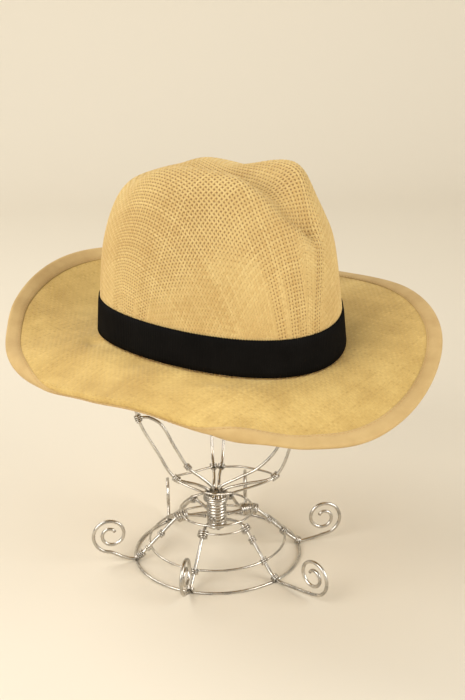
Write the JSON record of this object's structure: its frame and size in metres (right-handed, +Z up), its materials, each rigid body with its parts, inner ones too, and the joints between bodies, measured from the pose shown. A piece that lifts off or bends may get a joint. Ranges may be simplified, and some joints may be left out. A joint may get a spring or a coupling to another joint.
{
  "type": "woven paper hat on a wire stand",
  "caption": "Fedora of woven straw-coloured paper with a creased crown, black ribbon and taped brim edge, set on a small stand of bent wire with scroll feet.",
  "frame": {"origin": "on the floor under the middle of the hat's box", "axes": "+Z up, -Y is the front of the hat, +X is the wearer's left"},
  "size_m": [0.2852, 0.3478, 0.3237],
  "materials": {
    "woven_paper": "fine open weave of straw-coloured paper yarn, matt with a faint sheen",
    "cotton_tape": "plain tan tape, matt, with one row of stitches",
    "black_ribbon": "black ribbed ribbon, matt",
    "bare_wire": "bare drawn steel wire, bright with dull patches"
  },
  "bodies": {
    "root": {"crown": "woven_paper", "brim": "woven_paper", "hat_ribbon": "black_ribbon", "edge_tape": "cotton_tape", "leg_1": "bare_wire", "leg_2": "bare_wire", "leg_3": "bare_wire", "leg_4": "bare_wire", "leg_5": "bare_wire", "leg_6": "bare_wire", "base_tie_1": "bare_wire", "base_tie_2": "bare_wire", "base_tie_3": "bare_wire", "base_tie_4": "bare_wire", "base_tie_5": "bare_wire", "base_tie_6": "bare_wire", "mid_tie_1": "bare_wire", "mid_tie_2": "bare_wire", "mid_tie_3": "bare_wire", "mid_tie_4": "bare_wire", "mid_tie_5": "bare_wire", "mid_tie_6": "bare_wire", "hub_ring_1": "bare_wire", "hub_ring_2": "bare_wire", "post": "bare_wire", "top_ring": "bare_wire", "long_arm_1": "bare_wire", "long_arm_2": "bare_wire", "long_arm_3": "bare_wire", "long_arm_4": "bare_wire", "short_arm_1": "bare_wire", "short_arm_2": "bare_wire", "bowl_tie_1": "bare_wire", "bowl_tie_2": "bare_wire", "bowl_tie_3": "bare_wire", "bowl_tie_4": "bare_wire"}
  },
  "joints": []
}
